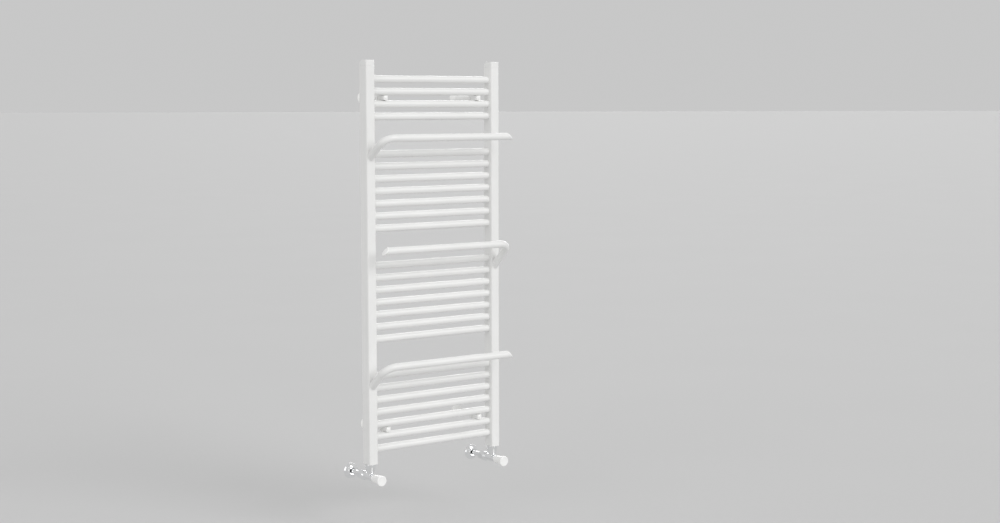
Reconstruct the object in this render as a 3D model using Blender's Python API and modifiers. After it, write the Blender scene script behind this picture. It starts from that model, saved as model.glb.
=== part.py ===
"""Wall-hung hydronic towel warmer: two posts, straight cross tubes, towel arms, wall brackets, angle valves.

Units are metres and +Z is up. The wall is the plane Y = 0 and the rack's front faces -Y. The origin lies
on the wall plane, at the centre of the four wall brackets.
"""

import math

import bmesh
import bpy
from mathutils import Matrix, Vector

# ---------------------------------------------------------------- driving dimensions
GAP = 0.0003                    # between pieces that touch on the real rack
THROUGH = 0.010                 # how far a cutter runs past each side of what it cuts
FRONT = Vector((0, -1, 0))      # away from the wall

POST_SPACING = 0.450            # centre to centre
POST_WIDTH = 0.030
POST_DEPTH = 0.042
POST_WALL = 0.002
POST_CORNER = 0.005
POST_FRONT_Y = -0.136
POST_ABOVE_TUBES = 0.055        # from the top tube's axis to the top of the cap
POST_BELOW_TUBES = 0.044        # from the bottom tube's axis to the post's lower end
CAP_HEIGHT = 0.016
CAP_BACK_ROUND = 0.014

TUBE_RADIUS = 0.011
TUBE_WALL = 0.0015
TUBE_PITCH = 0.0367
TUBE_INSERT = 0.0035            # how far a tube's end stands inside its post's outer face
TUBE_SLOTS = (*range(0, 4), *range(6, 13), *range(15, 22), *range(24, 31))
MIDDLE_SLOT = 15                # the slot level with the origin
TUBE_SIDES = 12

ARM_RADIUS = 0.011
ARM_WALL = 0.0015
ARM_STAND_OFF = 0.072           # from the post's front face to the arm's long run
ARM_BEND = 0.036
ARM_REACH = 0.455               # from the arm's own post to the long side of its mitred end
ARM_MITRE = math.radians(40)
ARM_CAP_THICK = 0.006
ARM_PLUG_LENGTH = 0.010
ARMS = {                        # name: (side, slot height of the run, rise from the root to the run)
    "towel_arm_top": (-1, 4.69, 0.054),
    "towel_arm_middle": (1, 13.64, 0.068),
    "towel_arm_bottom": (-1, 22.99, 0.061),
}

BRACKET_INSET = 0.057           # from a post's centre line to the bracket's
BRACKET_SLOTS = {"top": 1.5, "bottom": 28.5}
CLAMP_WIDTH = 0.014
CLAMP_HEIGHT = 0.040
CLAMP_FRONT_LIP = 0.013         # how far the clamp's nose reaches past the tubes' axes
CLAMP_NOSE_HEIGHT = 0.0136
CLAMP_BACK_Y = -0.100
CLAMP_SOCKET_DEPTH = 0.010
STEM_TIP_RADIUS = 0.004

VALVE_DROP = 0.041              # from the post's lower end to the valve's axis
BRANCH_RADIUS = 0.009
BRANCH_RISE = 0.020
TAIL_RADIUS = 0.008
PIPE_RADIUS = 0.0075
PIPE_WALL = 0.0012
SPINDLE_RADIUS = 0.003

# distances from the wall along a valve's axis
PIPE_END = 0.089
NUT_SPAN = (0.052, 0.0777)
BODY_START = 0.078
SEAT_SPAN = (0.100, 0.104)
CHAMBER_END = 0.124
BODY_FACE = 0.136
NECK_END = 0.146
WHEEL_START = 0.1365
WHEEL_FACE = 0.180
NECK_RADIUS = 0.006

VENT_BELOW_TOP = 0.026
VENT_SPIGOT_RADIUS = 0.005
VENT_BORE_RADIUS = 0.0026
VENT_SCREW_RADIUS = 0.0023
PLUG_HEAD = 0.007               # how far a plug's hexagon stands out of the post's back

# ---------------------------------------------------------------- places that follow
POST_X = POST_SPACING / 2
POST_Y = POST_FRONT_Y + POST_DEPTH / 2    # the tubes' axes lie in this plane too
POST_BACK_Y = POST_FRONT_Y + POST_DEPTH
TUBE_END_X = POST_X - POST_WIDTH / 2 + TUBE_INSERT


def slot_height(slot):
    """Height of a tube slot's axis. Slots count down from the top tube, one tube pitch apart."""
    return (MIDDLE_SLOT - slot) * TUBE_PITCH


POST_TOP = slot_height(TUBE_SLOTS[0]) + POST_ABOVE_TUBES
POST_BOTTOM = slot_height(TUBE_SLOTS[-1]) - POST_BELOW_TUBES
POST_MOUTH = POST_TOP - CAP_HEIGHT - GAP
VALVE_Z = POST_BOTTOM - VALVE_DROP
VENT_Z = POST_MOUTH - VENT_BELOW_TOP

SIDES = {"left": -1, "right": 1}


# ---------------------------------------------------------------- scene helpers
def start_scene():
    for old in list(bpy.data.objects):
        bpy.data.objects.remove(old, do_unlink=True)
    collections = {}
    for name in ("towel_warmer_rack", "cutters"):
        collections[name] = bpy.data.collections.new(name)
        bpy.context.scene.collection.children.link(collections[name])
    return collections["towel_warmer_rack"], collections["cutters"]


PARTS, CUTTERS = start_scene()


def make_material(name, colour, roughness, metallic):
    material = bpy.data.materials.new(name)
    material.use_nodes = True
    material.diffuse_color = (*colour, 1)
    shader = material.node_tree.nodes["Principled BSDF"]
    shader.inputs["Base Color"].default_value = (*colour, 1)
    shader.inputs["Roughness"].default_value = roughness
    shader.inputs["Metallic"].default_value = metallic
    return material


ENAMEL = make_material("white_enamel", (0.86, 0.86, 0.86), 0.32, 0.0)
PLASTIC = make_material("white_plastic", (0.92, 0.92, 0.92), 0.30, 0.0)
CHROME = make_material("chrome", (0.80, 0.81, 0.82), 0.12, 1.0)
BRASS = make_material("brass", (0.78, 0.60, 0.32), 0.30, 1.0)


def add_part(name, mesh, material):
    part = bpy.data.objects.new(name, mesh)
    part.data.materials.append(material)
    PARTS.objects.link(part)
    return part


def add_cutter(name, mesh):
    cutter = bpy.data.objects.new(name, mesh)
    cutter.hide_render = True
    cutter.display_type = "WIRE"
    CUTTERS.objects.link(cutter)
    return cutter


def finish_mesh(name, bm):
    mesh = bpy.data.meshes.new(name)
    bmesh.ops.recalc_face_normals(bm, faces=bm.faces)
    bm.to_mesh(mesh)
    bm.free()
    return mesh


def lay_along(obj, origin, direction):
    """Puts the object's own origin at a point and turns its +Z to a direction."""
    obj.location = origin
    obj.rotation_mode = "QUATERNION"
    obj.rotation_quaternion = Vector(direction).to_track_quat("Z", "Y")
    return obj


def boolean(obj, operand, operation):
    modifier = obj.modifiers.new(f"{operation.lower()}_{operand.name}", "BOOLEAN")
    modifier.operation = operation
    modifier.solver = "EXACT"
    modifier.object = operand


def box_mesh(name, size):
    bm = bmesh.new()
    bmesh.ops.create_cube(bm, size=1)
    bmesh.ops.scale(bm, vec=size, verts=bm.verts)
    return finish_mesh(name, bm)


def rod_mesh(name, radius, start, end, sides=TUBE_SIDES, capped=True):
    """A straight round bar between two points, or its open skin."""
    start, end = Vector(start), Vector(end)
    turn = (end - start).to_track_quat("Z", "Y").to_matrix().to_4x4()
    bm = bmesh.new()
    bmesh.ops.create_cone(
        bm, cap_ends=capped, segments=sides, radius1=radius, radius2=radius, depth=(end - start).length,
        matrix=Matrix.Translation((start + end) / 2) @ turn,
    )
    return finish_mesh(name, bm)


def joined(name, meshes):
    """One mesh out of several that don't touch, such as a row of drills."""
    bm = bmesh.new()
    for mesh in meshes:
        bm.from_mesh(mesh)
    return finish_mesh(name, bm)


def add_wall_thickness(obj, thickness):
    modifier = obj.modifiers.new("wall", "SOLIDIFY")
    modifier.thickness = thickness
    modifier.offset = -1
    modifier.use_even_offset = True


def add_screw(obj, sides):
    modifier = obj.modifiers.new("turned", "SCREW")
    modifier.axis = "Z"
    modifier.angle = math.tau
    modifier.steps = sides
    modifier.render_steps = sides
    modifier.use_merge_vertices = True
    modifier.merge_threshold = 0.00001
    modifier.use_smooth_shade = True


def profile_mesh(name, outline):
    """The outline of a turned piece as (radius, height) points; it is closed unless it ends on the axis."""
    closed = outline[0][0] > 0
    around = zip(outline, outline[1:] + outline[:1])
    if sum(r0 * z1 - r1 * z0 for (r0, z0), (r1, z1) in around) > 0:
        outline = outline[::-1]          # the outer side runs from the top down
    points = [(radius, 0, height) for radius, height in outline]
    edges = [(i, i + 1) for i in range(len(points) - 1)]
    if closed:
        edges.append((len(points) - 1, 0))
    mesh = bpy.data.meshes.new(name)
    mesh.from_pydata(points, edges, [])
    return mesh


def turned_part(name, outline, material, origin, direction, sides=16):
    part = add_part(name, profile_mesh(name, outline), material)
    add_screw(part, sides)
    return lay_along(part, origin, direction)


def turned_cutter(name, outline, origin, direction, sides=TUBE_SIDES):
    cutter = add_cutter(name, profile_mesh(name, outline))
    add_screw(cutter, sides)
    return lay_along(cutter, origin, direction)


def evaluated_mesh(obj):
    """The object's shape with its modifiers, in the object's own space."""
    bpy.context.view_layer.update()
    return bpy.data.meshes.new_from_object(obj.evaluated_get(bpy.context.evaluated_depsgraph_get()))


# ---------------------------------------------------------------- posts
def rounded_bar(length):
    """A bar of the post's section, standing on Z = 0, with its upright edges rounded."""
    bm = bmesh.new()
    bmesh.ops.create_cube(bm, size=1)
    bmesh.ops.scale(bm, vec=(POST_WIDTH, POST_DEPTH, length), verts=bm.verts)
    bmesh.ops.translate(bm, vec=(0, 0, length / 2), verts=bm.verts)
    upright = [e for e in bm.edges if abs((e.verts[0].co - e.verts[1].co).z) > length / 2]
    bmesh.ops.bevel(bm, geom=upright, offset=POST_CORNER, segments=3, profile=0.5, affect="EDGES")
    return bm


def make_post(name, side):
    length = POST_MOUTH - POST_BOTTOM
    bm = rounded_bar(length)
    mouth = [f for f in bm.faces if f.normal.z > 0.9]
    bmesh.ops.delete(bm, geom=mouth, context="FACES_ONLY")
    post = add_part(name, finish_mesh(name, bm), ENAMEL)
    post.location = (side * POST_X, POST_Y, POST_BOTTOM)
    add_wall_thickness(post, POST_WALL)

    inner_x = side * (POST_X - POST_WIDTH)
    drills = [
        rod_mesh("drill", TUBE_RADIUS + GAP, (inner_x, POST_Y, slot_height(slot)),
                 (side * POST_X, POST_Y, slot_height(slot)))
        for slot in TUBE_SLOTS
    ]
    drills.append(rod_mesh("drill", TAIL_RADIUS + GAP, (side * POST_X, POST_Y, POST_BOTTOM - THROUGH),
                           (side * POST_X, POST_Y, POST_BOTTOM + THROUGH)))
    drills.append(rod_mesh("drill", VENT_SPIGOT_RADIUS + GAP, (side * POST_X, POST_BACK_Y - THROUGH, VENT_Z),
                           (side * POST_X, POST_BACK_Y + THROUGH, VENT_Z)))
    boolean(post, add_cutter(f"{name}_drills", joined("drills", drills)), "DIFFERENCE")


def make_post_cap(name, side):
    """The welded end cap: the post's section with a rounded top edge along its back."""
    cap = add_part(name, finish_mesh(name, rounded_bar(CAP_HEIGHT)), ENAMEL)
    cap.location = (side * POST_X, POST_Y, POST_TOP - CAP_HEIGHT)

    half = POST_DEPTH / 2
    chamfer, outside, steps = 0.002, 0.001, 5
    arc = [math.radians(90 * step / steps) for step in range(steps + 1)]
    front = -half - outside
    outline = [(front, 0), (front, CAP_HEIGHT - chamfer - outside), (-half + chamfer, CAP_HEIGHT)]
    outline += [
        (half - CAP_BACK_ROUND * (1 - math.sin(a)), CAP_HEIGHT - CAP_BACK_ROUND * (1 - math.cos(a)))
        for a in arc
    ]
    outline += [(half, 0)]
    bm = bmesh.new()
    section = bm.faces.new([bm.verts.new((-POST_WIDTH, y, z)) for y, z in outline])
    swept = bmesh.ops.extrude_face_region(bm, geom=[section])["geom"]
    bmesh.ops.translate(
        bm, vec=(2 * POST_WIDTH, 0, 0), verts=[v for v in swept if isinstance(v, bmesh.types.BMVert)])
    envelope = add_cutter(f"{name}_envelope", finish_mesh("envelope", bm))
    envelope.location = cap.location
    boolean(cap, envelope, "INTERSECT")


# ---------------------------------------------------------------- cross tubes
def make_tube(name, slot):
    height = slot_height(slot)
    skin = rod_mesh(name, TUBE_RADIUS, (-TUBE_END_X, POST_Y, height), (TUBE_END_X, POST_Y, height),
                    capped=False)
    add_wall_thickness(add_part(name, skin, ENAMEL), TUBE_WALL)


# ---------------------------------------------------------------- towel arms
def arm_path(side, run_height, rise):
    """The arm's centre line: up and out of the post at a slant, then round one bend and across the rack."""
    root = Vector((side * POST_X, POST_FRONT_Y, run_height - rise))
    corner = Vector((side * POST_X, POST_FRONT_Y - ARM_STAND_OFF, run_height))
    rising = (corner - root).normalized()
    across = Vector((-side, 0, 0))
    centre = corner - rising * ARM_BEND + across * ARM_BEND
    steps, before_root, past_end = 9, 0.02, 0.03
    turns = [math.radians(90 * step / steps) for step in range(steps + 1)]
    bend = [centre - across * ARM_BEND * math.cos(t) + rising * ARM_BEND * math.sin(t) for t in turns]
    return [root - rising * before_root, *bend, corner + across * (ARM_REACH + past_end)]


def arm_end(side, run_height):
    """The middle of the arm's mitred end."""
    reach = ARM_REACH - ARM_RADIUS * math.tan(ARM_MITRE)
    return Vector((side * (POST_X - reach), POST_FRONT_Y - ARM_STAND_OFF, run_height))


def make_arm(name, side, run_height, rise):
    curve = bpy.data.curves.new(name, "CURVE")
    curve.dimensions = "3D"
    curve.bevel_depth = ARM_RADIUS
    curve.bevel_resolution = TUBE_SIDES // 2 - 2
    spline = curve.splines.new("POLY")
    path = arm_path(side, run_height, rise)
    spline.points.add(len(path) - 1)
    for point, place in zip(spline.points, path):
        point.co = (*place, 1)
    rail = bpy.data.objects.new("rail", curve)
    CUTTERS.objects.link(rail)
    arm = add_part(name, evaluated_mesh(rail), ENAMEL)
    arm.matrix_world = rail.matrix_world
    bpy.data.objects.remove(rail)
    add_wall_thickness(arm, ARM_WALL)

    block = 0.08
    behind_post_face = add_cutter(f"{name}_root_cut", box_mesh("root_cut", (block, block, block)))
    behind_post_face.location = (side * POST_X, POST_FRONT_Y - GAP + block / 2, run_height - rise)
    boolean(arm, behind_post_face, "DIFFERENCE")

    mitre = add_cutter(f"{name}_mitre_cut", box_mesh("mitre_cut", (block, block, block)))
    mitre.rotation_euler.y = side * ARM_MITRE
    beyond = Matrix.Rotation(side * ARM_MITRE, 3, "Y") @ Vector((-side * block / 2, 0, 0))
    mitre.location = arm_end(side, run_height) + beyond
    boolean(arm, mitre, "DIFFERENCE")


def make_arm_cap(name, side, run_height):
    """A plug in the arm's open end, sheared so that its flange lies on the mitre."""
    plug = ARM_RADIUS * math.cos(math.pi / TUBE_SIDES) - ARM_WALL - GAP
    start = GAP
    edge = 0.0006
    outline = [
        (0, -ARM_PLUG_LENGTH), (plug, -ARM_PLUG_LENGTH), (plug, start), (ARM_RADIUS, start),
        (ARM_RADIUS, ARM_CAP_THICK - edge), (ARM_RADIUS - edge, ARM_CAP_THICK), (0, ARM_CAP_THICK),
    ]
    across = Vector((-side, 0, 0))
    blank = turned_cutter("plug_blank", outline, arm_end(side, run_height), across)
    mesh = evaluated_mesh(blank)
    mesh.transform(Matrix.Rotation(math.radians(-90 * side), 4, "Y"))
    slant = Matrix.Identity(4)
    slant[0][2] = side * math.tan(ARM_MITRE)
    mesh.transform(slant)
    mesh.name = name
    cap = add_part(name, mesh, PLASTIC)
    cap.location = blank.location
    bpy.data.objects.remove(blank)


# ---------------------------------------------------------------- wall brackets
def make_wall_foot(name, x, z):
    """A round wall foot and its stem in one turned piece; the tip enters the clamp's socket."""
    flange, stem, collar = 0.020, 0.007, 0.0095
    to_clamp = -CLAMP_BACK_Y
    collar_start, collar_end = to_clamp - 0.016, to_clamp - 0.006
    tip_end = to_clamp + CLAMP_SOCKET_DEPTH - 0.001
    outline = [
        (0, 0), (flange, 0), (flange, 0.003), (0.0175, 0.0075), (0.011, 0.0105), (stem, 0.014),
        (stem, collar_start), (collar, collar_start), (collar, collar_end), (stem, collar_end),
        (stem, to_clamp - GAP), (STEM_TIP_RADIUS, to_clamp - GAP), (STEM_TIP_RADIUS, tip_end), (0, tip_end),
    ]
    turned_part(name, outline, PLASTIC, (x, 0, z), FRONT, sides=12)


def make_clamp(name, x, slot):
    """A jaw that backs on to two tubes, hollowed to their round sides, and its nose between them."""
    front_y = POST_Y - CLAMP_FRONT_LIP
    height = slot_height(slot)
    clamp = add_part(name, box_mesh(name, (CLAMP_WIDTH, CLAMP_BACK_Y - POST_Y, CLAMP_HEIGHT)), PLASTIC)
    clamp.location = (x, (CLAMP_BACK_Y + POST_Y) / 2, height)
    nose_root_y = CLAMP_BACK_Y - CLAMP_SOCKET_DEPTH / 2
    nose = box_mesh("nose", (CLAMP_WIDTH, nose_root_y - front_y, CLAMP_NOSE_HEIGHT))
    nose.transform(Matrix.Translation((x, (nose_root_y + front_y) / 2, height)))
    boolean(clamp, add_cutter(f"{name}_nose", nose), "UNION")
    reach = CLAMP_WIDTH
    hollows = [
        rod_mesh("hollow", TUBE_RADIUS + GAP, (x - reach, POST_Y, z), (x + reach, POST_Y, z))
        for z in (height - TUBE_PITCH / 2, height + TUBE_PITCH / 2)
    ]
    hollows.append(rod_mesh("socket", STEM_TIP_RADIUS + GAP, (x, CLAMP_BACK_Y - CLAMP_SOCKET_DEPTH, height),
                            (x, CLAMP_BACK_Y + THROUGH, height)))
    boolean(clamp, add_cutter(f"{name}_hollows", joined("hollows", hollows)), "DIFFERENCE")


# ---------------------------------------------------------------- valves
def make_rosette(name, x):
    """Domed wall cover with a short neck round the pipe."""
    bore, rim, neck, height = PIPE_RADIUS + GAP, 0.024, 0.0105, 0.0125
    outline = [(bore, 0), (rim, 0), (rim, 0.002), (0.0215, 0.0055), (0.0165, 0.008), (0.0120, 0.0092),
               (neck, height), (bore, height)]
    turned_part(name, outline, CHROME, (x, 0, VALVE_Z), FRONT, sides=24)


def make_supply_pipe(name, x):
    skin = rod_mesh(name, PIPE_RADIUS, (x, 0, VALVE_Z), (x, -PIPE_END, VALVE_Z), capped=False)
    add_wall_thickness(add_part(name, skin, CHROME), PIPE_WALL)


def make_compression_nut(name, x):
    across_corners = 0.0145
    near, far = NUT_SPAN
    hexagon = rod_mesh(name, across_corners, (x, -near, VALVE_Z), (x, -far, VALVE_Z), sides=6)
    nut = add_part(name, hexagon, CHROME)
    drill = rod_mesh("drill", PIPE_RADIUS + GAP, (x, 0, VALVE_Z), (x, -BODY_START, VALVE_Z))
    boolean(nut, add_cutter(f"{name}_drill", drill), "DIFFERENCE")


def make_valve_body(name, x):
    """Turned barrel with a seat and a spindle bore, and a branch that rises to the post."""
    flange, barrel = 0.0145, 0.011
    outline = [
        (0, BODY_START), (flange, BODY_START), (flange, BODY_START + 0.006), (barrel, BODY_START + 0.009),
        (barrel, BODY_FACE), (NECK_RADIUS, BODY_FACE), (NECK_RADIUS, NECK_END), (0, NECK_END),
    ]
    body = turned_part(name, outline, CHROME, (x, 0, VALVE_Z), FRONT)
    branch = rod_mesh("branch", BRANCH_RADIUS, (x, POST_Y, VALVE_Z), (x, POST_Y, VALVE_Z + BRANCH_RISE))
    boolean(body, add_cutter(f"{name}_branch", branch), "UNION")

    seat_start, seat_end = SEAT_SPAN
    water, seat, chamber = 0.005, 0.004, 0.007
    stem_bore = SPINDLE_RADIUS + GAP
    inlet, inlet_end = PIPE_RADIUS + GAP, PIPE_END + 0.001
    before, past = BODY_START - THROUGH, NECK_END + THROUGH
    inside = [
        (0, before), (inlet, before), (inlet, inlet_end), (water, inlet_end), (water, seat_start),
        (seat, seat_start), (seat, seat_end), (chamber, seat_end), (chamber, CHAMBER_END),
        (stem_bore, CHAMBER_END), (stem_bore, past), (0, past),
    ]
    boolean(body, turned_cutter(f"{name}_bore", inside, (x, 0, VALVE_Z), FRONT), "DIFFERENCE")
    riser = rod_mesh("riser", water, (x, POST_Y, VALVE_Z), (x, POST_Y, VALVE_Z + BRANCH_RISE + THROUGH))
    boolean(body, add_cutter(f"{name}_riser", riser), "DIFFERENCE")


def make_union_nut(name, x):
    """Conical union between the valve's branch and the post, with the tail that enters the post."""
    socket, water, foot, head = BRANCH_RADIUS + GAP, 0.006, 0.0115, 0.0160
    foot_z, head_z, under_post, tail_end = 0.012, 0.030, VALVE_DROP - GAP, VALVE_DROP + 0.008
    outline = [
        (socket, foot_z), (foot, foot_z), (foot + 0.001, foot_z + 0.005), (head, head_z), (head, under_post),
        (TAIL_RADIUS, under_post), (TAIL_RADIUS, tail_end), (water, tail_end),
        (water, BRANCH_RISE + GAP), (socket, BRANCH_RISE + GAP),
    ]
    turned_part(name, outline, CHROME, (x, POST_Y, VALVE_Z), (0, 0, 1))


def make_spindle(name, x):
    """Valve disc and stem; its own origin is on the valve's axis."""
    disc, disc_start = 0.006, SEAT_SPAN[1] + GAP
    disc_end, tip = disc_start + 0.003, NECK_END + 0.004
    outline = [(0, disc_start), (disc, disc_start), (disc, disc_end), (SPINDLE_RADIUS, disc_end),
               (SPINDLE_RADIUS, tip), (0, tip)]
    turned_part(name, outline, BRASS, (x, 0, VALVE_Z), FRONT, sides=12)


def make_handwheel(name, x):
    """Flared cap with a blind bore over the valve's neck. Its own origin is on its turning axis."""
    bore, bore_end = NECK_RADIUS + 0.0005, WHEEL_START + 0.0235
    foot, rim = 0.0118, 0.0160
    outline = [
        (0, bore_end), (bore, bore_end), (bore, WHEEL_START), (foot, WHEEL_START),
        (0.0122, WHEEL_START + 0.010), (0.0158, WHEEL_FACE - 0.006), (rim, WHEEL_FACE - 0.003),
        (0.0150, WHEEL_FACE - 0.0008), (0.0135, WHEEL_FACE), (0, WHEEL_FACE),
    ]
    turned_part(name, outline, PLASTIC, (x, 0, VALVE_Z), FRONT, sides=24)


# ---------------------------------------------------------------- air vent and blind plug
def make_back_plug(name, x, bored):
    """A hexagon plug in the post's back, drilled through when it holds the vent screw."""
    across_corners, spigot_length, overlap = 0.009, 0.004, 0.002
    start, head_end = POST_BACK_Y + GAP, POST_BACK_Y + PLUG_HEAD
    head = rod_mesh(name, across_corners, (x, start, VENT_Z), (x, head_end, VENT_Z), sides=6)
    plug = add_part(name, head, CHROME)
    spigot = rod_mesh("spigot", VENT_SPIGOT_RADIUS, (x, POST_BACK_Y - spigot_length, VENT_Z),
                      (x, head_end - overlap, VENT_Z))
    boolean(plug, add_cutter(f"{name}_spigot", spigot), "UNION")
    if bored:
        drill = rod_mesh("drill", VENT_BORE_RADIUS, (x, POST_BACK_Y - THROUGH, VENT_Z),
                         (x, head_end + THROUGH, VENT_Z))
        boolean(plug, add_cutter(f"{name}_drill", drill), "DIFFERENCE")


def make_vent_screw(name, x):
    """The needle that is turned with a key; its own origin is on its axis."""
    square, head_length, stem_length, overlap = 0.0035, 0.0047, 0.003, 0.001
    head_start = POST_BACK_Y + PLUG_HEAD + GAP
    screw = add_part(name, rod_mesh(name, square, (0, 0, 0), (0, head_length, 0), sides=4), BRASS)
    screw.location = (x, head_start, VENT_Z)
    stem = rod_mesh("stem", VENT_SCREW_RADIUS, (x, POST_BACK_Y - stem_length, VENT_Z),
                    (x, head_start + head_length - overlap, VENT_Z))
    boolean(screw, add_cutter(f"{name}_stem", stem), "UNION")


# ---------------------------------------------------------------- the rack
def make_rack():
    for side_name, side in SIDES.items():
        x = side * POST_X
        make_post(f"{side_name}_post", side)
        make_post_cap(f"{side_name}_post_cap", side)
        make_rosette(f"{side_name}_rosette", x)
        make_supply_pipe(f"{side_name}_supply_pipe", x)
        make_compression_nut(f"{side_name}_compression_nut", x)
        make_valve_body(f"{side_name}_valve_body", x)
        make_union_nut(f"{side_name}_union_nut", x)
        make_spindle(f"{side_name}_spindle", x)
        make_handwheel(f"{side_name}_handwheel", x)
        for row, slot in BRACKET_SLOTS.items():
            bracket_x = side * (POST_X - BRACKET_INSET)
            make_wall_foot(f"wall_foot_{row}_{side_name}", bracket_x, slot_height(slot))
            make_clamp(f"clamp_{row}_{side_name}", bracket_x, slot)

    for number, slot in enumerate(TUBE_SLOTS, start=1):
        make_tube(f"cross_tube_{number:02d}", slot)

    for name, (side, slot, rise) in ARMS.items():
        make_arm(name, side, slot_height(slot), rise)
        make_arm_cap(f"{name}_cap", side, slot_height(slot))

    make_back_plug("air_vent_plug", POST_X, bored=True)
    make_vent_screw("air_vent_screw", POST_X)
    make_back_plug("blind_plug", -POST_X, bored=False)


make_rack()
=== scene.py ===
"""Looks of a wall-hung towel warmer rack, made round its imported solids.

Units are metres and +Z is up. The wall is the plane Y = 0, and the rack's front faces -Y.
"""

import math

import bmesh
import bpy
from mathutils import Matrix, Vector


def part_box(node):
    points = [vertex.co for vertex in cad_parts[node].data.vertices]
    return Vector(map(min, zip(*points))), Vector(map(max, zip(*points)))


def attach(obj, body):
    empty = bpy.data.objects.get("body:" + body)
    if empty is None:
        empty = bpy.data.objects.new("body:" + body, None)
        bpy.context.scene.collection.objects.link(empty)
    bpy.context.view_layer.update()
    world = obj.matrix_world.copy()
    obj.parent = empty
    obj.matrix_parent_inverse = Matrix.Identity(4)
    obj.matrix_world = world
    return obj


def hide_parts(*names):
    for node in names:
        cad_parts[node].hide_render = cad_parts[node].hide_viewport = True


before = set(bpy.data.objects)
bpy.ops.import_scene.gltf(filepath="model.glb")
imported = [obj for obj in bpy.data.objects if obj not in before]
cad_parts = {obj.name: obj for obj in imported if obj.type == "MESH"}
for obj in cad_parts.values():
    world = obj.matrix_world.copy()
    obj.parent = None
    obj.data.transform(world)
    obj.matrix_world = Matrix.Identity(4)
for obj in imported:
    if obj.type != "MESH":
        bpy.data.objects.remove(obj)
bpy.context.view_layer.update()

FRONT = Vector((0, -1, 0))
UP = Vector((0, 0, 1))
BACK = Vector((0, 1, 0))
SIDES = ("left", "right")
SMOOTH_BELOW = math.radians(32)      # edges sharper than this stay crisp
ROUND_SIDES = 64
FINE_SIDES = 96
SMALL_SIDES = 48
FILLET_STEP = math.radians(12)       # the turn between two rings of a rounded edge
CORNER_STEPS = 8
ON_AXIS = 1e-7                       # a smaller radius is a pole
GAP = 0.0003                         # kept between pieces that meet

# ---------------------------------------------------------------- sizes that the boxes don't tell
POST_CORNER = 0.005
CAP_BACK_ROUND = 0.014
CAP_SEAM = 0.0002                    # the eased edges and the joint between a post and its cap
TUBE_RADIUS = 0.011
TUBE_WELD = 0.0014                   # radius of the fillet where a tube meets its post
ARM_RADIUS = 0.011
ARM_WELD = 0.0022
ARM_BEND = 0.036
ARM_MITRE = math.radians(40)
ARM_RISES = {"towel_arm_top": (-1, 0.054), "towel_arm_middle": (1, 0.068), "towel_arm_bottom": (-1, 0.061)}
CLAMP_NOSE_HEIGHT = 0.0136
PIPE_CLEARANCE = 0.0079              # radius of the holes that pass over the supply pipe
TUBE_COUNT = sum(name.startswith("cross_tube_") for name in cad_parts)


# ---------------------------------------------------------------- node materials
class Finish:
    """A node material built round one Principled BSDF."""

    def __init__(self, name, colour, metallic=0.0, in_place=True):
        self.material = bpy.data.materials.new(name)
        self.material.use_nodes = True
        self.tree = self.material.node_tree
        self.shader = self.tree.nodes["Principled BSDF"]
        self.shader.inputs["Base Color"].default_value = (*colour, 1)
        self.shader.inputs["Metallic"].default_value = metallic
        if in_place:                 # a pattern fixed in space, for the body that never moves
            self.where = self.tree.nodes.new("ShaderNodeNewGeometry").outputs["Position"]
        else:
            self.where = self.tree.nodes.new("ShaderNodeTexCoord").outputs["Object"]

    def link(self, source, target):
        self.tree.links.new(source, target)

    def noise(self, scale, detail=2.0, roughness=0.5):
        node = self.tree.nodes.new("ShaderNodeTexNoise")
        node.inputs["Scale"].default_value = scale
        node.inputs["Detail"].default_value = detail
        node.inputs["Roughness"].default_value = roughness
        self.link(self.where, node.inputs["Vector"])
        return node.outputs["Fac"]

    def rings(self, scale):
        """Fine turned grooves round the piece's axis."""
        node = self.tree.nodes.new("ShaderNodeTexWave")
        node.bands_direction = "Z"
        node.inputs["Scale"].default_value = scale
        node.inputs["Distortion"].default_value = 0.4
        self.link(self.where, node.inputs["Vector"])
        return node.outputs["Fac"]

    def spots(self, scale, size):
        """1 inside small scattered round spots, 0 outside them."""
        cells = self.tree.nodes.new("ShaderNodeTexVoronoi")
        cells.inputs["Scale"].default_value = scale
        self.link(self.where, cells.inputs["Vector"])
        return self.remap(cells.outputs["Distance"], size, size * 0.6, 0.0, 1.0)

    def remap(self, value, low, high, to_low, to_high):
        node = self.tree.nodes.new("ShaderNodeMapRange")
        sockets = ("From Min", "From Max", "To Min", "To Max")
        for socket, number in zip(sockets, (low, high, to_low, to_high)):
            node.inputs[socket].default_value = number
        self.link(value, node.inputs["Value"])
        return node.outputs["Result"]

    def add(self, first, second):
        node = self.tree.nodes.new("ShaderNodeMath")
        node.operation = "ADD"
        self.link(first, node.inputs[0])
        self.link(second, node.inputs[1])
        return node.outputs["Value"]

    def tint(self, value, colour):
        """Mixes the base colour towards another by a value from 0 to 1."""
        node = self.tree.nodes.new("ShaderNodeMix")
        node.data_type = "RGBA"
        inputs = [socket for socket in node.inputs if socket.type == "RGBA"]
        base = self.shader.inputs["Base Color"]
        if base.is_linked:
            self.link(base.links[0].from_socket, inputs[0])
        else:
            inputs[0].default_value = base.default_value
        inputs[1].default_value = (*colour, 1)
        self.link(value, node.inputs["Factor"])
        self.link(next(socket for socket in node.outputs if socket.type == "RGBA"), base)

    def roughness(self, value):
        self.link(value, self.shader.inputs["Roughness"])

    def relief(self, height, depth):
        """Raises the surface by depth metres where the height is 1."""
        node = self.tree.nodes.new("ShaderNodeBump")
        node.inputs["Distance"].default_value = depth
        self.link(height, node.inputs["Height"])
        normal = self.shader.inputs["Normal"]
        if normal.is_linked:
            self.link(normal.links[0].from_socket, node.inputs["Normal"])
        self.link(node.outputs["Normal"], normal)


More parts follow.
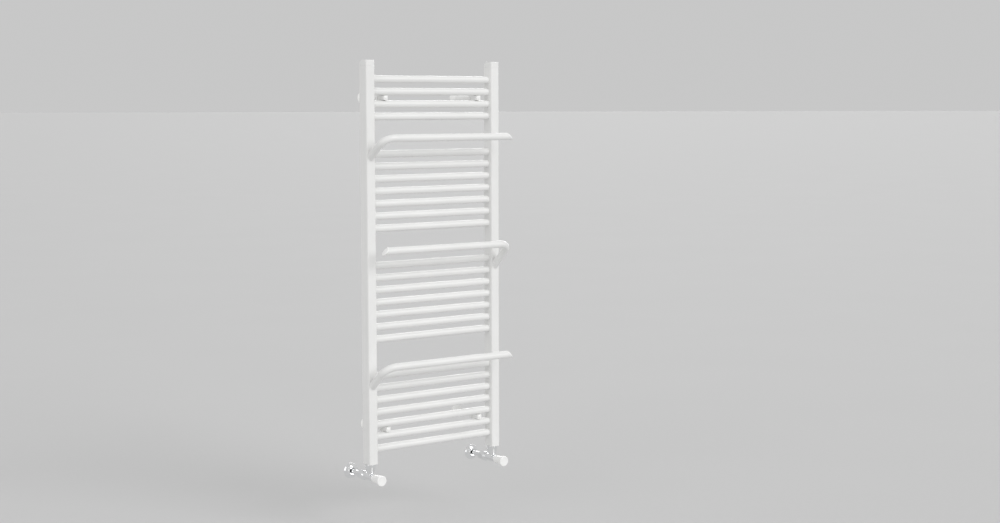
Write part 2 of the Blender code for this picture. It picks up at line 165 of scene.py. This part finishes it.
def make_enamel():
    """Satin white powder coat: orange peel over a fine grain, a little uneven in tone and gloss."""
    finish = Finish("white_powder_coat", (0.86, 0.86, 0.85))
    finish.tint(finish.remap(finish.noise(7, 3), 0.35, 0.65, 0.0, 1.0), (0.835, 0.835, 0.825))
    finish.roughness(finish.remap(finish.noise(45, 3), 0.3, 0.7, 0.29, 0.37))
    finish.relief(finish.noise(420, 1), 0.000010)
    finish.relief(finish.noise(2600, 0), 0.0000015)
    return finish.material


def make_plastic():
    """Moulded white plastic: smooth, faintly wavy, with fine wear in its gloss."""
    finish = Finish("white_moulded_plastic", (0.94, 0.94, 0.93), in_place=False)
    finish.tint(finish.remap(finish.noise(60, 2), 0.35, 0.65, 0.0, 1.0), (0.925, 0.925, 0.913))
    finish.roughness(finish.remap(finish.noise(260, 2), 0.3, 0.7, 0.20, 0.27))
    finish.relief(finish.noise(180, 0), 0.000008)
    return finish.material


def make_chrome():
    """Polished chrome plate with faint waviness, wiping marks and a few dried water spots."""
    finish = Finish("polished_chrome", (0.95, 0.955, 0.96), metallic=1.0, in_place=False)
    smears = finish.remap(finish.noise(70, 4, 0.6), 0.35, 0.75, 0.08, 0.16)
    finish.roughness(finish.add(smears, finish.remap(finish.spots(230, 0.16), 0, 1, 0.0, 0.12)))
    finish.tint(finish.remap(finish.noise(120, 2), 0.4, 0.7, 0.0, 1.0), (0.92, 0.93, 0.94))
    finish.relief(finish.noise(130, 1), 0.00001)
    return finish.material


def make_steel():
    """Zinc-plated screw steel, duller and greyer than chrome."""
    finish = Finish("zinc_plated_steel", (0.62, 0.63, 0.64), metallic=1.0, in_place=False)
    finish.roughness(finish.remap(finish.noise(500, 3), 0.3, 0.7, 0.24, 0.40))
    finish.relief(finish.rings(900), 0.000004)
    return finish.material


def make_brass():
    """Turned brass with machining rings and a slight tarnish."""
    finish = Finish("turned_brass", (0.78, 0.60, 0.32), metallic=1.0, in_place=False)
    finish.tint(finish.remap(finish.noise(220, 3), 0.4, 0.7, 0.0, 1.0), (0.66, 0.47, 0.22))
    finish.roughness(finish.remap(finish.noise(400, 2), 0.3, 0.7, 0.22, 0.38))
    finish.relief(finish.rings(700), 0.000006)
    return finish.material


def make_rubber():
    finish = Finish("black_rubber", (0.025, 0.025, 0.026), in_place=False)
    finish.roughness(finish.remap(finish.noise(900, 2), 0.3, 0.7, 0.55, 0.75))
    finish.relief(finish.noise(2400, 2), 0.00001)
    return finish.material


ENAMEL = make_enamel()
PLASTIC = make_plastic()
CHROME = make_chrome()
STEEL = make_steel()
BRASS = make_brass()
RUBBER = make_rubber()


# ---------------------------------------------------------------- pieces
def add_piece(name, mesh, material, *nodes, body="rack", matrix=None):
    """One shown piece that rides on a body and stands for the CAD nodes that are named."""
    piece = bpy.data.objects.new(name, mesh)
    bpy.context.scene.collection.objects.link(piece)
    if not mesh.materials:
        mesh.materials.append(material)
    mesh.shade_smooth()
    mesh.set_sharp_from_angle(angle=SMOOTH_BELOW)
    if matrix is not None:
        piece.matrix_world = matrix
    even = piece.modifiers.new("even_normals", "WEIGHTED_NORMAL")
    even.keep_sharp = True
    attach(piece, body)
    if nodes:
        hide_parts(*nodes)
    return piece


def finish_mesh(name, bm):
    mesh = bpy.data.meshes.new(name)
    bmesh.ops.recalc_face_normals(bm, faces=bm.faces)
    bm.to_mesh(mesh)
    bm.free()
    return mesh


def facing(origin, direction):
    """The matrix that puts a piece's origin at a point and turns its +Z to a direction."""
    return Matrix.Translation(origin) @ Vector(direction).to_track_quat("Z", "Y").to_matrix().to_4x4()


def loft(name, rings, closed=False):
    """A skin through rings of points. A ring of one point is a pole, and open ends are capped."""
    bm = bmesh.new()
    loops = [[bm.verts.new(point) for point in ring] for ring in rings]
    pairs = list(zip(loops, loops[1:]))
    if closed:
        pairs.append((loops[-1], loops[0]))
    for below, above in pairs:
        count = max(len(below), len(above))
        for i in range(count):
            corners = [below[i % len(below)], below[(i + 1) % len(below)],
                       above[(i + 1) % len(above)], above[i % len(above)]]
            bm.faces.new(dict.fromkeys(corners))
    if not closed:
        for loop in (loops[0], loops[-1]):
            if len(loop) > 1:
                bm.faces.new(loop)
    return finish_mesh(name, bm)


def rounded(outline):
    """The (radius, height) points of an outline of (radius, height, fillet) corners."""
    points = []
    for i, (radius, height, fillet) in enumerate(outline):
        corner = Vector((radius, height))
        if not fillet:
            points.append(corner)
            continue
        before = (Vector(outline[i - 1][:2]) - corner).normalized()
        after = (Vector(outline[(i + 1) % len(outline)][:2]) - corner).normalized()
        half = before.angle(after) / 2
        centre = corner + (before + after).normalized() * fillet / math.sin(half)
        spoke = corner + before * fillet / math.tan(half) - centre
        sweep = math.pi - 2 * half
        if before.cross(after) > 0:
            sweep = -sweep
        steps = max(2, round(abs(sweep) / FILLET_STEP))
        for k in range(steps + 1):
            angle = sweep * k / steps
            swung = Vector((spoke.x * math.cos(angle) - spoke.y * math.sin(angle),
                            spoke.x * math.sin(angle) + spoke.y * math.cos(angle)))
            points.append(centre + swung)
    return points


def turned(name, outline, closed=False, sides=ROUND_SIDES, shape=None):
    """Spins rounded outline corners about +Z. shape(angle, radius, height) may change the radius."""
    rings = []
    for radius, height in rounded(outline):
        if radius < ON_AXIS:
            rings.append([(0, 0, height)])
            continue
        ring = []
        for i in range(sides):
            angle = math.tau * i / sides
            r = shape(angle, radius, height) if shape else radius
            ring.append((r * math.cos(angle), r * math.sin(angle), height))
        rings.append(ring)
    return loft(name, rings, closed)


def applied(obj):
    """The object's evaluated mesh; the object is removed."""
    bpy.context.view_layer.update()
    mesh = bpy.data.meshes.new_from_object(obj.evaluated_get(bpy.context.evaluated_depsgraph_get()))
    bpy.data.objects.remove(obj)
    return mesh


def combined(mesh, other, operation):
    """The mesh after a Boolean with another."""
    objects = []
    for each in (mesh, other):
        obj = bpy.data.objects.new(each.name, each)
        bpy.context.scene.collection.objects.link(obj)
        objects.append(obj)
    modifier = objects[0].modifiers.new("combined", "BOOLEAN")
    modifier.operation = operation
    modifier.solver = "EXACT"
    modifier.object = objects[1]
    result = applied(objects[0])
    bpy.data.objects.remove(objects[1])
    return result


def chamfered_prism(name, corner_radius, length, sides, chamfer):
    """A hexagon or square bar on Z = 0 whose ends are chamfered by a cone, as a nut is."""
    bm = bmesh.new()
    bmesh.ops.create_cone(bm, cap_ends=True, segments=sides, radius1=corner_radius, radius2=corner_radius,
                          depth=length, matrix=Matrix.Translation((0, 0, length / 2)))
    prism = finish_mesh(name, bm)
    inner, outer, slant = corner_radius - chamfer, corner_radius + chamfer, chamfer * 1.2
    cone = turned(f"{name}_cone", [
        (0, 0, 0), (inner, 0, 0), (outer, slant, 0), (outer, length - slant, 0), (inner, length, 0),
        (0, length, 0),
    ], sides=FINE_SIDES)
    blank = bpy.data.objects.new(name, combined(prism, cone, "INTERSECT"))
    bpy.context.scene.collection.objects.link(blank)
    bevel = blank.modifiers.new("edges", "BEVEL")
    bevel.width = 0.0002
    bevel.segments = 2
    bevel.limit_method = "ANGLE"
    bevel.angle_limit = math.radians(20)
    return applied(blank)


# ---------------------------------------------------------------- posts
def section_ring(low, high, corner, height):
    """A rounded rectangle at a height, between the corners low and high of (x, y)."""
    ring = []
    corners = ((high[0], high[1]), (low[0], high[1]), (low[0], low[1]), (high[0], low[1]))
    for quarter, (x, y) in enumerate(corners):
        centre_x = x - math.copysign(corner, x - (low[0] + high[0]) / 2)
        centre_y = y - math.copysign(corner, y - (low[1] + high[1]) / 2)
        for k in range(CORNER_STEPS + 1):
            angle = math.radians(90) * (quarter + k / CORNER_STEPS)
            ring.append((centre_x + corner * math.cos(angle), centre_y + corner * math.sin(angle), height))
    return ring


def inset_ring(low, high, inset, height):
    """A post's section, smaller by inset all round."""
    return section_ring((low.x + inset, low.y + inset), (high.x - inset, high.y - inset),
                        POST_CORNER - inset, height)


def make_post(side_name):
    """The upright box section, with eased ends."""
    low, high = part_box(f"{side_name}_post")
    foot_ease, steps = 0.0010, 4
    rings = []
    for k in range(steps + 1):
        angle = math.radians(90) * k / steps
        rings.append(inset_ring(low, high, foot_ease * (1 - math.sin(angle)),
                                low.z + foot_ease * (1 - math.cos(angle))))
    for k in range(steps + 1):
        angle = math.radians(90) * k / steps
        rings.append(inset_ring(low, high, CAP_SEAM * (1 - math.cos(angle)),
                                high.z - CAP_SEAM * (1 - math.sin(angle))))
    name = f"{side_name}_upright"
    add_piece(name, loft(name, rings), ENAMEL, f"{side_name}_post")


def make_post_cap(side_name):
    """The end cap: its top rolls down to the back, and its other top edges are eased."""
    low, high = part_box(f"{side_name}_post_cap")
    ease = 0.0016
    foot = low.z - CAP_SEAM
    rings = [inset_ring(low, high, CAP_SEAM, foot), inset_ring(low, high, 0, foot + CAP_SEAM)]
    for degrees in (0, 10, 20, 30, 40, 50, 60, 68, 74, 78, 81, 83.5, 85.5, 87, 88.5, 90):
        roll = math.radians(degrees)
        height = high.z - CAP_BACK_ROUND * (1 - math.sin(roll))
        into = max(0.0, height - (high.z - ease))
        inset = ease - math.sqrt(max(0.0, ease ** 2 - into ** 2))
        back = max(inset, CAP_BACK_ROUND * (1 - math.cos(roll)))
        rings.append(section_ring((low.x + inset, low.y + inset), (high.x - inset, high.y - back),
                                  POST_CORNER - inset, height))
    name = f"{side_name}_upright_cap"
    add_piece(name, loft(name, rings), ENAMEL, f"{side_name}_post_cap")


# ---------------------------------------------------------------- cross tubes
def weld_flare(depth, weld):
    """How far a weld fillet stands out of a tube, at a distance from the face that it meets."""
    return weld - math.sqrt(max(0.0, weld ** 2 - (weld - depth) ** 2)) if depth < weld else 0.0


def make_cross_tubes():
    """Every cross tube shares one mesh: a round bar that flares into its welds at both posts."""
    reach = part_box("right_post")[0].x                 # the posts' inner faces
    sunk, steps = GAP, 6
    ends = [(TUBE_RADIUS + TUBE_WELD, reach + sunk)]
    ends += [(TUBE_RADIUS + weld_flare(TUBE_WELD * k / steps, TUBE_WELD), reach - TUBE_WELD * k / steps)
             for k in range(steps + 1)]
    outline = [(0, ends[0][1], 0)] + [(radius, x, 0) for radius, x in ends]
    outline += [(radius, -x, 0) for radius, x in reversed(ends)] + [(0, -ends[0][1], 0)]
    mesh = turned("cross_tube", outline, sides=SMALL_SIDES)
    for number in range(1, TUBE_COUNT + 1):
        node = f"cross_tube_{number:02d}"
        low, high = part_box(node)
        centre = (low + high) / 2
        add_piece(f"rung_{number:02d}", mesh, ENAMEL, node, matrix=facing(centre, (1, 0, 0)))


# ---------------------------------------------------------------- towel arms
def make_arm(name, side, rise):
    """A tube that leaves the post's face at a slant, bends once and runs across to a mitred end."""
    cap_low, cap_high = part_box(f"{name}_cap")
    post_low, post_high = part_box("left_post" if side < 0 else "right_post")
    arm_low, arm_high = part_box(name)
    run = (cap_low + cap_high) / 2
    corner = Vector(((post_low.x + post_high.x) / 2, run.y, run.z))
    root = Vector((corner.x, post_low.y, corner.z - rise))
    rising = (corner - root).normalized()
    across = Vector((-side, 0, 0))
    normal = rising.cross(across)
    circle = [math.tau * i / ROUND_SIDES for i in range(ROUND_SIDES)]

    def ring_at(centre, tangent, radius=ARM_RADIUS):
        other = normal.cross(tangent)
        return [centre + (normal * math.cos(a) + other * math.sin(a)) * radius for a in circle]

    rings = []
    weld_steps, sunk = 7, 0.0004
    for k in range(-1, weld_steps + 1):
        depth = -sunk if k < 0 else ARM_WELD * k / weld_steps
        radius = ARM_RADIUS + weld_flare(max(depth, 0.0), ARM_WELD)
        ring = ring_at(root, rising, radius)
        rings.append([p + rising * ((root.y - depth - p.y) / rising.y) for p in ring])
    centre = corner - rising * ARM_BEND + across * ARM_BEND
    bend_steps = 24
    for k in range(bend_steps + 1):
        turn = math.radians(90) * k / bend_steps
        place = centre - across * ARM_BEND * math.cos(turn) + rising * ARM_BEND * math.sin(turn)
        rings.append(ring_at(place, rising * math.cos(turn) + across * math.sin(turn)))
    long_side = arm_low.x if side > 0 else arm_high.x
    end_x = long_side + side * ARM_RADIUS * math.tan(ARM_MITRE)
    last = ring_at(Vector((end_x, run.y, run.z)), across)
    rings.append([p + Vector((side * math.tan(ARM_MITRE) * (p.z - run.z), 0, 0)) for p in last])
    add_piece(f"{name}_tube", loft(name, rings), ENAMEL, name)
    make_arm_cap(name, side, Vector((end_x, run.y, run.z)))


def make_arm_cap(name, side, end):
    """The plug in the arm's end, sheared to its mitre, with a soft rim and a slightly domed face."""
    low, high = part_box(f"{name}_cap")
    slope = math.tan(ARM_MITRE)
    outer = low.x if side > 0 else high.x
    thick = abs(outer - end.x) - ARM_RADIUS * slope
    plug, plug_length, rim = 0.0092, 0.008, 0.0018
    outline = [
        (0, -plug_length, 0), (plug, -plug_length, 0.0006), (plug, GAP, 0), (ARM_RADIUS, GAP, 0.0003),
        (ARM_RADIUS, thick - 0.0005, rim), (ARM_RADIUS - 0.003, thick - 0.0003, 0), (0.004, thick, 0),
        (0, thick, 0),
    ]
    rings = []
    for radius, depth in rounded(outline):
        count = ROUND_SIDES if radius > 0 else 1
        ring = []
        for i in range(count):
            angle = math.tau * i / count
            y, z = radius * math.cos(angle), radius * math.sin(angle)
            ring.append(end + Vector((-side * depth + side * slope * z, y, z)))
        rings.append(ring)
    add_piece(f"{name}_end", loft(f"{name}_end", rings), PLASTIC, f"{name}_cap")


# ---------------------------------------------------------------- wall brackets
def make_wall_foot(place):
    """Flange on the wall, a sleeve and the stem that slides in it, and a collar with a grub screw."""
    node = f"wall_foot_{place}"
    low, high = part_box(node)
    centre = Vector(((low.x + high.x) / 2, 0, (low.z + high.z) / 2))
    to_clamp, short_of_clamp = -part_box(f"clamp_{place}")[1].y, 0.0002
    flange, sleeve, stem, collar = 0.020, 0.007, 0.0058, 0.0095
    sleeve_end, collar_start, collar_end = to_clamp - 0.030, to_clamp - 0.016, to_clamp - 0.006
    outline = [
        (0, 0, 0), (flange - 0.0008, 0, 0), (flange, 0.0006, 0.0004), (flange, 0.0032, 0.0012),
        (0.0135, 0.0082, 0.004), (sleeve, 0.0125, 0.005), (sleeve, sleeve_end, 0.0006),
        (stem, sleeve_end, 0.0002), (stem, collar_start, 0.0002), (collar, collar_start, 0.0007),
        (collar, collar_end, 0.0007), (sleeve, collar_end, 0.0002),
        (sleeve, to_clamp - short_of_clamp, 0.0003), (0, to_clamp - short_of_clamp, 0),
    ]
    matrix = facing(centre, FRONT)
    foot = turned(node, outline, sides=SMALL_SIDES)
    add_piece(f"bracket_foot_{place}", foot, PLASTIC, node, matrix=matrix)

    grub_centre = centre + FRONT * (collar_start + collar_end) / 2 - UP * collar
    grub_sunk = 0.0009
    add_piece(f"grub_screw_{place}", socket_screw("grub_screw", 0.0024, 0.0012, 0.0013), STEEL,
              matrix=facing(grub_centre + UP * grub_sunk, -UP))


def socket_screw(name, radius, key_radius, height):
    """A small screw head with a hexagon socket, standing on Z = 0."""
    head = turned(name, [(0, 0, 0), (radius, 0, 0), (radius, height, 0.0003), (0, height, 0)], sides=32)
    key = turned("key", [(0, height - key_radius, 0), (key_radius, height - key_radius, 0),
                         (key_radius, height + 0.001, 0), (0, height + 0.001, 0)], sides=6)
    return combined(head, key, "DIFFERENCE")


def make_clamp(place, upper_tube, lower_tube):
    """A moulded jaw hollowed to two tubes; a cover on its nose hides the clamping screw."""
    node = f"clamp_{place}"
    low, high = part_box(node)
    x, width = (low.x + high.x) / 2, high.x - low.x
    upper, lower = [sum(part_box(f"cross_tube_{number:02d}"), Vector()) / 2
                    for number in (upper_tube, lower_tube)]
    middle = (upper.z + lower.z) / 2
    hollow, top = TUBE_RADIUS + 0.0002, high.z - middle
    above = upper.z - middle
    nose, shoulder = CLAMP_NOSE_HEIGHT / 2, 0.0006
    round_y, round_z = 0.0025, 0.003
    half = [(high.y, 0), (high.y, top - round_z)]
    half += [(high.y - round_y * (1 - math.cos(a)), top - round_z * (1 - math.sin(a)))
             for a in (math.radians(d) for d in range(15, 91, 15))]
    first = math.asin((top - above) / hollow)
    steps = 20
    for k in range(steps + 1):
        angle = first + (-math.pi / 2 - first) * k / steps
        half.append((upper.y + hollow * math.cos(angle), above + hollow * math.sin(angle)))
    half += [(upper.y - shoulder, nose), (low.y, nose)]
    outline = half + [(y, -z) for y, z in reversed(half[1:])]
    sides = [[(edge_x, y, middle + z) for y, z in outline] for edge_x in (x - width / 2, x + width / 2)]
    clamp = add_piece(f"bracket_jaw_{place}", loft(node, sides), PLASTIC, node)
    bevel = clamp.modifiers.new("edges", "BEVEL")
    bevel.width = 0.0009
    bevel.segments = 3
    bevel.limit_method = "ANGLE"
    bevel.angle_limit = math.radians(40)
    clamp.modifiers.move(1, 0)       # the bevel comes before the even normals

    cover = turned("screw_cover", [
        (0, 0, 0), (0.0046, 0, 0), (0.0046, 0.0010, 0.0004), (0.0030, 0.0017, 0.002), (0, 0.0018, 0),
    ], sides=SMALL_SIDES)
    add_piece(f"screw_cover_{place}", cover, PLASTIC,
              matrix=facing(Vector((x, low.y + 0.0001, middle)), FRONT))


# ---------------------------------------------------------------- valves
def span(node):
    """A node's near and far distance from the wall."""
    low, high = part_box(node)
    return -high.y, -low.y


def make_rosette(side_name, matrix):
    """Pressed wall cover: a rolled rim, a dome and a short wide neck, held on the pipe by its back."""
    node = f"{side_name}_rosette"
    far = span(node)[1]
    low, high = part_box(node)
    rim = (high.x - low.x) / 2
    bore, mouth, lip = PIPE_CLEARANCE, 0.0106, 0.0030
    outline = [
        (bore, 0.0004, 0), (rim - 0.0006, 0, 0), (rim, 0.0006, 0.0004), (rim, 0.0020, 0.0009),
        (rim - 0.0022, 0.0048, 0.0030), (0.0172, 0.0078, 0.010), (0.0134, 0.0092, 0.0016),
        (0.0128, far, 0.0008), (mouth, far, 0.0004), (mouth, lip, 0.0004), (bore, lip, 0),
    ]
    cover = turned(node, outline, closed=True, sides=FINE_SIDES)
    add_piece(f"{side_name}_wall_cover", cover, CHROME, node, matrix=matrix)


def make_supply_pipe(side_name, matrix):
    """Open pipe from the wall to the valve, eased at the valve's end."""
    node = f"{side_name}_supply_pipe"
    near, far = span(node)
    outer, inner = 0.0075, 0.0063
    ease = 0.0003
    outline = [(inner, near, 0), (outer, near, 0), (outer, far, ease), (inner, far, ease)]
    add_piece(f"{side_name}_pipe", turned(node, outline, closed=True), CHROME, node, matrix=matrix)


def make_compression_nut(side_name, matrix):
    """Hexagon nut with chamfered ends and a narrow collar towards the wall."""
    node = f"{side_name}_compression_nut"
    near, far = span(node)
    corner_radius, chamfer, collar, bore = 0.0145, 0.0012, 0.004, 0.0077
    hexagon = chamfered_prism(node, corner_radius, far - near - collar, 6, chamfer)
    add_piece(f"{side_name}_pipe_nut", hexagon, CHROME, node,
              matrix=matrix @ Matrix.Translation((0, 0, near + collar)))
    ring = turned("nut_collar", [
        (bore, near, 0), (0.0112, near, 0.0006), (0.0118, near + collar, 0), (bore, near + collar, 0),
    ], closed=True)
    add_piece(f"{side_name}_pipe_nut_collar", ring, CHROME, matrix=matrix)


def make_valve_body(side_name, matrix, post_y):
    """Barrel with an inlet flange and a neck, and a branch that blends out of its top."""
    node = f"{side_name}_valve_body"
    start, end = span(node)
    flange, barrel, neck = 0.0145, 0.011, 0.006
    face = end - 0.010
    outline = [
        (0, start, 0), (flange, start, 0.0006), (flange, start + 0.0058, 0.0010),
        (barrel, start + 0.0090, 0.0025), (barrel, face, 0.0010), (neck, face, 0.0004), (neck, end, 0.0005),
        (0, end, 0),
    ]
    add_piece(f"{side_name}_valve_barrel", turned(node, outline), CHROME, node, matrix=matrix)

    branch, blend, top = 0.009, 0.0018, 0.0195
    rings = []
    centre = matrix.translation + FRONT * -post_y
    angles = [math.tau * i / ROUND_SIDES for i in range(ROUND_SIDES)]

    def on_barrel(radius, angle, sink=0.0):
        """A point of a ring round the branch's axis, on the barrel or sunk into it."""
        x = max(-barrel, min(radius * math.cos(angle), barrel))
        return Vector((x, radius * math.sin(angle), math.sqrt(max(0.0, (barrel - sink) ** 2 - x * x))))

    steps = 8
    rings.append([centre + on_barrel(branch * 0.8, a, 0.002) for a in angles])
    for k in range(steps + 1):
        t = k / steps
        ring = []
        for a in angles:
            foot = on_barrel(branch + blend, a, 0.00005)
            bend = on_barrel(branch, a)
            rise = bend + Vector((0, 0, blend))
            ring.append(centre + foot * (1 - t) ** 2 + bend * 2 * t * (1 - t) + rise * t ** 2)
        rings.append(ring)
    rings.append([centre + Vector((branch * math.cos(a), branch * math.sin(a), top)) for a in angles])
    add_piece(f"{side_name}_valve_branch", loft("valve_branch", rings), CHROME)


def make_union_nut(side_name, x, post_y, valve_z):
    """Tulip-shaped union nut with a rolled top edge, and the tail that enters the post."""
    node = f"{side_name}_union_nut"
    low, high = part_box(node)
    foot, head, tail, socket = 0.0115, (high.x - low.x) / 2, 0.008, 0.0093
    tail_bore = tail - 0.0018
    under_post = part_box(f"{side_name}_post")[0].z - GAP - valve_z
    foot_z, top = low.z - valve_z, high.z - valve_z
    socket_end = foot_z + 0.0085
    outline = [
        (socket, foot_z, 0.0004), (foot, foot_z, 0.0008), (foot + 0.0010, foot_z + 0.005, 0.008),
        (head - 0.0006, foot_z + 0.0175, 0.012), (head, under_post - 0.0030, 0), (head, under_post, 0.0012),
        (tail, under_post, 0.0002), (tail, top, 0.0005), (tail_bore, top, 0.0005), (tail_bore, socket_end, 0),
        (socket, socket_end, 0),
    ]
    matrix = Matrix.Translation((x, post_y, valve_z))
    union = turned(node, outline, closed=True, sides=FINE_SIDES)
    add_piece(f"{side_name}_union", union, CHROME, node, matrix=matrix)


def make_handwheel(side_name, matrix):
    """Flared cap with shallow grip flutes, a groove behind its rim and a dished face."""
    node = f"{side_name}_handwheel"
    start, face = span(node)
    low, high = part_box(node)
    rim, flutes, flute_depth = (high.x - low.x) / 2, 16, 0.00045
    grip_start, grip_end = start + 0.005, face - 0.0085

    def fluted(angle, radius, height):
        if not grip_start < height < grip_end:
            return radius
        fade = math.sin(math.pi * (height - grip_start) / (grip_end - grip_start)) ** 0.6
        return radius - flute_depth * fade * (0.5 + 0.5 * math.cos(flutes * angle)) ** 2

    bore, bore_end = 0.0065, start + 0.0235
    outline = [(0, bore_end, 0), (bore, bore_end, 0), (bore, start, 0.0004), (0.0118, start, 0.0008)]
    narrow, wide, groove, stations = 0.0119, rim - 0.0005, rim - 0.0010, 22
    for k in range(1, stations):     # the flared side, in enough rings to carry the flutes
        share = k / stations
        height = start + 0.002 + (face - 0.0075 - start - 0.002) * share
        outline.append((narrow + (wide - narrow) * share ** 1.7, height, 0))
    outline += [
        (wide, face - 0.0072, 0), (groove, face - 0.0068, 0.0002), (groove, face - 0.0062, 0.0002),
        (rim - 0.0003, face - 0.0058, 0.0002), (rim, face - 0.0030, 0.004), (rim - 0.0004, face, 0.0022),
        (0.0105, face - 0.0001, 0.0003), (0.0100, face - 0.0006, 0.0003), (0, face - 0.0009, 0),
    ]
    body = f"{side_name}_wheel"
    mesh = turned(node, outline, sides=flutes * 9, shape=fluted)
    add_piece(f"{side_name}_wheel_cap", mesh, PLASTIC, node, body=body, matrix=matrix)


def make_valve(side_name):
    """One valve, from its wall cover to its handwheel."""
    wheel_low, wheel_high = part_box(f"{side_name}_handwheel")
    axis = (wheel_low + wheel_high) / 2
    post_low, post_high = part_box(f"{side_name}_post")
    post_y = (post_low.y + post_high.y) / 2
    matrix = facing(Vector((axis.x, 0, axis.z)), FRONT)
    make_rosette(side_name, matrix)
    make_supply_pipe(side_name, matrix)
    make_compression_nut(side_name, matrix)
    make_valve_body(side_name, matrix, post_y)
    make_union_nut(side_name, axis.x, post_y, axis.z)
    make_handwheel(side_name, matrix)
    repaint(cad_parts[f"{side_name}_spindle"], BRASS)


def repaint(obj, material):
    """Shows a CAD piece as it is, in another material."""
    obj.data.materials.clear()
    obj.data.materials.append(material)


# ---------------------------------------------------------------- air vent and blind plug
def make_back_plug(node, name, bore):
    """Hexagon plug on a rubber ring, in the back of a post."""
    low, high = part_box(node)
    post_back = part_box("left_post")[1].y
    axis = Vector(((low.x + high.x) / 2, post_back, (low.z + high.z) / 2))
    matrix = facing(axis, BACK)
    ring, length, past = 0.0009, high.y - post_back, 0.001
    head = chamfered_prism(name, 0.009, length - ring, 6, 0.0008)
    head.transform(Matrix.Translation((0, 0, ring)))
    if bore:
        cutter = turned("drill", [
            (0, -past, 0), (bore, -past, 0), (bore, length + past, 0), (0, length + past, 0),
        ], sides=32)
    else:
        key = 0.003                  # radius and depth of the hexagon key's socket
        cutter = turned("key", [
            (0, length - key, 0), (key, length - key, 0), (key, length + past, 0), (0, length + past, 0),
        ], sides=6)
    head = combined(head, cutter, "DIFFERENCE")
    add_piece(name, head, CHROME, node, matrix=matrix)
    inner, outer, foot = 0.005, 0.0078, 0.0001
    seal = turned("seal", [(inner, foot, 0), (outer, foot, 0.0003), (outer, ring, 0.0003), (inner, ring, 0)],
                  closed=True)
    add_piece(f"{name}_seal", seal, RUBBER, matrix=matrix)


def make_vent_screw():
    """Square head for a vent key, just clear of the plug that it turns in."""
    low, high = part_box("air_vent_screw")
    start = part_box("air_vent_plug")[1].y + GAP
    square = chamfered_prism("vent_key_square", 0.0035, high.y - start, 4, 0.0005)
    origin = Vector(((low.x + high.x) / 2, start, (low.z + high.z) / 2))
    add_piece("vent_key_square", square, BRASS, "air_vent_screw", body="vent_needle",
              matrix=facing(origin, BACK))


# ---------------------------------------------------------------- the rack
for side in SIDES:
    make_post(side)
    make_post_cap(side)
    make_valve(side)
    for row, tubes in {"top": (2, 3), "bottom": (TUBE_COUNT - 2, TUBE_COUNT - 1)}.items():
        make_wall_foot(f"{row}_{side}")
        make_clamp(f"{row}_{side}", *tubes)
make_cross_tubes()
for arm, (arm_side, arm_rise) in ARM_RISES.items():
    make_arm(arm, arm_side, arm_rise)
make_back_plug("air_vent_plug", "vent_plug", bore=0.0026)
make_back_plug("blind_plug", "closed_plug", bore=0)
make_vent_screw()


# ---------------------------------------------------------------- studio
def make_floor():
    """Pale floor a little below the rack, a disc inside a ring that runs to the horizon."""
    floor_z, middle, edge_radius = -0.80, 4, 300
    bm = bmesh.new()
    for radius in (middle, edge_radius):
        bmesh.ops.create_circle(bm, cap_ends=False, segments=FINE_SIDES, radius=radius,
                                matrix=Matrix.Translation((0, 0, floor_z)))
    bmesh.ops.bridge_loops(bm, edges=bm.edges)
    bmesh.ops.contextual_create(bm, geom=[edge for edge in bm.edges if edge.is_boundary
                                          and edge.verts[0].co.xy.length < middle + 1])
    finish = Finish("matt_studio_paint", (0.598, 0.598, 0.598))
    finish.tint(finish.remap(finish.noise(1.2, 2), 0.3, 0.7, 0.0, 1.0), (0.592, 0.592, 0.592))
    finish.roughness(finish.remap(finish.noise(60, 2), 0.3, 0.7, 0.8, 0.95))
    mesh = finish_mesh("floor", bm)
    mesh.materials.append(finish.material)
    floor = bpy.data.objects.new("floor", mesh)
    bpy.context.scene.collection.objects.link(floor)


def add_light(name, toward, angle, strength):
    """Far, soft light that comes from the direction toward and fills angle degrees of the sky."""
    data = bpy.data.lights.new(name, "SUN")
    data.energy = strength
    data.angle = math.radians(angle)
    light = bpy.data.objects.new(name, data)
    light.rotation_euler = Vector(toward).to_track_quat("Z", "Y").to_euler()
    bpy.context.scene.collection.objects.link(light)


def make_studio():
    """Even pale light from all round, a broad key in front, a fill on the left and one behind."""
    make_floor()
    add_light("key", (0.30, -1.0, 0.50), 36, 1.22)
    add_light("left_fill", (-1.0, -0.25, 0.35), 50, 0.66)
    add_light("back_fill", (0.85, 0.90, 0.35), 40, 1.00)
    world = bpy.data.worlds.new("studio")
    world.use_nodes = True
    background = world.node_tree.nodes["Background"]
    background.inputs["Color"].default_value = (1, 1, 1, 1)
    background.inputs["Strength"].default_value = 0.575
    bpy.context.scene.world = world
    bpy.context.scene.view_settings.view_transform = "Standard"


def make_camera():
    """Stands to the left of the rack, a little above its middle."""
    place = Vector((-2.749, -4.202, 0.475))
    yaw, pitch, roll = math.radians(36.34), math.radians(-5.51), math.radians(-0.11)
    ahead = Vector((math.sin(yaw) * math.cos(pitch), math.cos(yaw) * math.cos(pitch), math.sin(pitch)))
    level = Vector((math.cos(yaw), -math.sin(yaw), 0))
    upright = level.cross(ahead)
    right = level * math.cos(roll) + upright * math.sin(roll)
    top = upright * math.cos(roll) - level * math.sin(roll)
    data = bpy.data.cameras.new("camera")
    data.lens = 58.56
    data.clip_end = 500
    camera = bpy.data.objects.new("camera", data)
    camera.matrix_world = Matrix.Translation(place) @ Matrix((right, top, -ahead)).transposed().to_4x4()
    bpy.context.scene.collection.objects.link(camera)
    bpy.context.scene.camera = camera


make_studio()
make_camera()
